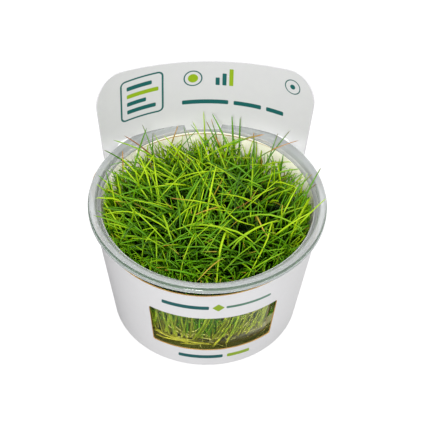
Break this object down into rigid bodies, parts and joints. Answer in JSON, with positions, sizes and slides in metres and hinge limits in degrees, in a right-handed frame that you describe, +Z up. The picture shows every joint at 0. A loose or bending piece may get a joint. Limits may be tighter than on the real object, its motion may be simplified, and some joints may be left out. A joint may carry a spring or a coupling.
{
  "type": "dwarf hairgrass in a culture cup",
  "caption": "Dense mat of fine hairgrass leaves on clear gel in a tapered clear cup, wrapped in a white card sleeve with a front window and a tall back panel.",
  "frame": {"origin": "middle of the cup's flat underside", "axes": "+Z up; -Y towards the sleeve's window (front), +Y towards its tall back panel, +X to the right seen from the front"},
  "size_m": [0.095, 0.0948, 0.0932],
  "materials": {
    "cup": "clear glossy polypropylene",
    "sleeve": "white coated card, satin, brown at the cut edges",
    "nutrient_gel": "clear soft gel, wet",
    "leaf": "green living leaf, slightly glossy"
  },
  "bodies": {
    "root": {"cup": "cup", "sleeve": "sleeve", "nutrient_gel": "nutrient_gel", "tuft_01": "leaf", "tuft_02": "leaf", "tuft_03": "leaf", "tuft_04": "leaf", "tuft_05": "leaf", "tuft_06": "leaf", "tuft_07": "leaf", "tuft_08": "leaf", "tuft_09": "leaf", "tuft_10": "leaf", "tuft_11": "leaf", "tuft_12": "leaf", "tuft_13": "leaf", "tuft_14": "leaf", "tuft_15": "leaf", "tuft_16": "leaf", "tuft_17": "leaf", "tuft_18": "leaf", "tuft_19": "leaf", "tuft_20": "leaf", "tuft_21": "leaf", "tuft_22": "leaf", "tuft_23": "leaf", "tuft_24": "leaf", "tuft_25": "leaf", "tuft_26": "leaf", "tuft_27": "leaf", "tuft_28": "leaf", "tuft_29": "leaf", "tuft_30": "leaf", "tuft_31": "leaf", "tuft_32": "leaf", "tuft_33": "leaf", "tuft_34": "leaf", "tuft_35": "leaf", "tuft_36": "leaf", "tuft_37": "leaf"}
  },
  "joints": []
}
